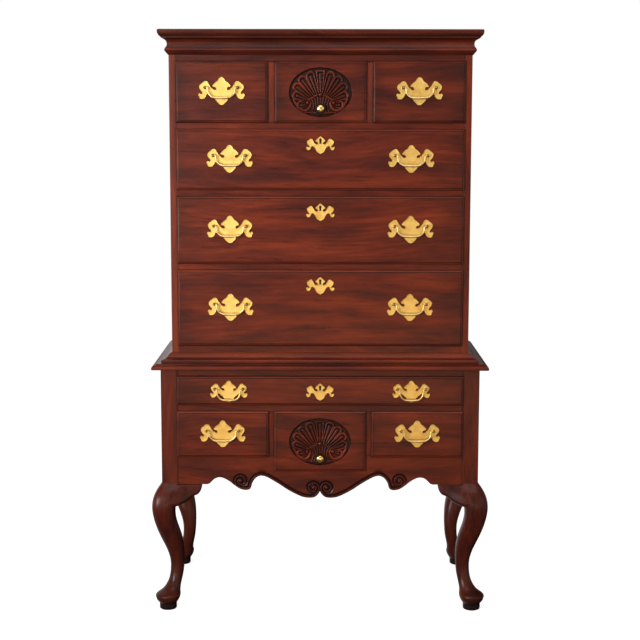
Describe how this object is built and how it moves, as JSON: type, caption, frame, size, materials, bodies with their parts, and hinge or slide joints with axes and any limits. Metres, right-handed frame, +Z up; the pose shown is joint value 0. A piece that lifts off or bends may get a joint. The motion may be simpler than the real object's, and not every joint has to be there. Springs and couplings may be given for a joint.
{
  "type": "highboy",
  "caption": "Flat-top highboy: lipped drawers with bail pulls and carved shells, on a lower drawer case with a scrolled apron and cabriole legs.",
  "frame": {"origin": "on the floor, below the middle of the lower case", "axes": "+Z up, front faces -Y, +X to the right of someone facing the front"},
  "size_m": [1.043, 0.563, 1.79],
  "materials": {
    "cherry": "red-brown cherry under a satin lacquer, darker in the hollows",
    "inner_wood": "plain sawn and sanded secondary wood, no lacquer",
    "brass": "polished and lacquered brass"
  },
  "bodies": {
    "case": {"leg_front_left": "cherry", "leg_front_right": "cherry", "leg_rear_left": "cherry", "leg_rear_right": "cherry", "lower_side_left": "cherry", "lower_side_right": "cherry", "lower_back": "inner_wood", "apron": "cherry", "lower_bottom": "inner_wood", "lower_shelf": "cherry", "waist_board": "cherry", "upper_side_left": "cherry", "upper_side_right": "cherry", "upper_back": "inner_wood", "upper_top": "cherry", "upper_bottom": "cherry", "upper_shelf_1": "cherry", "upper_shelf_2": "cherry", "upper_shelf_3": "cherry", "cornice": "cherry"},
    "bail_top_left": {"bail_top_left": "brass"},
    "drawer_top_left": {"drawer_top_left": "cherry", "pull_plate_top_left": "brass"},
    "drawer_top_shell": {"drawer_top_shell": "cherry", "knob_top_shell": "brass"},
    "bail_top_right": {"bail_top_right": "brass"},
    "drawer_top_right": {"drawer_top_right": "cherry", "pull_plate_top_right": "brass"},
    "bail_long_1_left": {"bail_long_1_left": "brass"},
    "bail_long_1_right": {"bail_long_1_right": "brass"},
    "drawer_long_1": {"drawer_long_1": "cherry", "pull_plate_long_1_left": "brass", "pull_plate_long_1_right": "brass", "escutcheon_long_1": "brass"},
    "bail_long_2_left": {"bail_long_2_left": "brass"},
    "bail_long_2_right": {"bail_long_2_right": "brass"},
    "drawer_long_2": {"drawer_long_2": "cherry", "pull_plate_long_2_left": "brass", "pull_plate_long_2_right": "brass", "escutcheon_long_2": "brass"},
    "bail_long_3_left": {"bail_long_3_left": "brass"},
    "bail_long_3_right": {"bail_long_3_right": "brass"},
    "drawer_long_3": {"drawer_long_3": "cherry", "pull_plate_long_3_left": "brass", "pull_plate_long_3_right": "brass", "escutcheon_long_3": "brass"},
    "bail_waist_left": {"bail_waist_left": "brass"},
    "bail_waist_right": {"bail_waist_right": "brass"},
    "drawer_waist": {"drawer_waist": "cherry", "pull_plate_waist_left": "brass", "pull_plate_waist_right": "brass", "escutcheon_waist": "brass"},
    "bail_low_left": {"bail_low_left": "brass"},
    "drawer_low_left": {"drawer_low_left": "cherry", "pull_plate_low_left": "brass"},
    "drawer_low_shell": {"drawer_low_shell": "cherry", "knob_low_shell": "brass"},
    "bail_low_right": {"bail_low_right": "brass"},
    "drawer_low_right": {"drawer_low_right": "cherry", "pull_plate_low_right": "brass"}
  },
  "joints": [
    {"name": "slide_top_left", "type": "slide", "parent": "case", "child": "drawer_top_left", "axis": [0, -1, 0], "range_m": [0, 0.35]},
    {"name": "swing_top_left", "type": "hinge", "parent": "drawer_top_left", "child": "bail_top_left", "pos_m": [-0.29783, -0.2386, 1.61808], "axis": [-1, 0, 0], "range_deg": [-6, 170]},
    {"name": "slide_top_shell", "type": "slide", "parent": "case", "child": "drawer_top_shell", "axis": [0, -1, 0], "range_m": [0, 0.35]},
    {"name": "slide_top_right", "type": "slide", "parent": "case", "child": "drawer_top_right", "axis": [0, -1, 0], "range_m": [0, 0.35]},
    {"name": "swing_top_right", "type": "hinge", "parent": "drawer_top_right", "child": "bail_top_right", "pos_m": [0.29783, -0.2386, 1.61808], "axis": [-1, 0, 0], "range_deg": [-6, 170]},
    {"name": "slide_long_1", "type": "slide", "parent": "case", "child": "drawer_long_1", "axis": [0, -1, 0], "range_m": [0, 0.35]},
    {"name": "swing_long_1_left", "type": "hinge", "parent": "drawer_long_1", "child": "bail_long_1_left", "pos_m": [-0.275, -0.2386, 1.41558], "axis": [-1, 0, 0], "range_deg": [-6, 170]},
    {"name": "swing_long_1_right", "type": "hinge", "parent": "drawer_long_1", "child": "bail_long_1_right", "pos_m": [0.275, -0.2386, 1.41558], "axis": [-1, 0, 0], "range_deg": [-6, 170]},
    {"name": "slide_long_2", "type": "slide", "parent": "case", "child": "drawer_long_2", "axis": [0, -1, 0], "range_m": [0, 0.35]},
    {"name": "swing_long_2_left", "type": "hinge", "parent": "drawer_long_2", "child": "bail_long_2_left", "pos_m": [-0.275, -0.2386, 1.20183], "axis": [-1, 0, 0], "range_deg": [-6, 170]},
    {"name": "swing_long_2_right", "type": "hinge", "parent": "drawer_long_2", "child": "bail_long_2_right", "pos_m": [0.275, -0.2386, 1.20183], "axis": [-1, 0, 0], "range_deg": [-6, 170]},
    {"name": "slide_long_3", "type": "slide", "parent": "case", "child": "drawer_long_3", "axis": [0, -1, 0], "range_m": [0, 0.35]},
    {"name": "swing_long_3_left", "type": "hinge", "parent": "drawer_long_3", "child": "bail_long_3_left", "pos_m": [-0.275, -0.2386, 0.96283], "axis": [-1, 0, 0], "range_deg": [-6, 170]},
    {"name": "swing_long_3_right", "type": "hinge", "parent": "drawer_long_3", "child": "bail_long_3_right", "pos_m": [0.275, -0.2386, 0.96283], "axis": [-1, 0, 0], "range_deg": [-6, 170]},
    {"name": "slide_waist", "type": "slide", "parent": "case", "child": "drawer_waist", "axis": [0, -1, 0], "range_m": [0, 0.35]},
    {"name": "swing_waist_left", "type": "hinge", "parent": "drawer_waist", "child": "bail_waist_left", "pos_m": [-0.28, -0.2716, 0.70501], "axis": [-1, 0, 0], "range_deg": [-6, 170]},
    {"name": "swing_waist_right", "type": "hinge", "parent": "drawer_waist", "child": "bail_waist_right", "pos_m": [0.28, -0.2716, 0.70501], "axis": [-1, 0, 0], "range_deg": [-6, 170]},
    {"name": "slide_low_left", "type": "slide", "parent": "case", "child": "drawer_low_left", "axis": [0, -1, 0], "range_m": [0, 0.35]},
    {"name": "swing_low_left", "type": "hinge", "parent": "drawer_low_left", "child": "bail_low_left", "pos_m": [-0.2995, -0.2716, 0.57433], "axis": [-1, 0, 0], "range_deg": [-6, 170]},
    {"name": "slide_low_shell", "type": "slide", "parent": "case", "child": "drawer_low_shell", "axis": [0, -1, 0], "range_m": [0, 0.35]},
    {"name": "slide_low_right", "type": "slide", "parent": "case", "child": "drawer_low_right", "axis": [0, -1, 0], "range_m": [0, 0.35]},
    {"name": "swing_low_right", "type": "hinge", "parent": "drawer_low_right", "child": "bail_low_right", "pos_m": [0.2995, -0.2716, 0.57433], "axis": [-1, 0, 0], "range_deg": [-6, 170]}
  ]
}
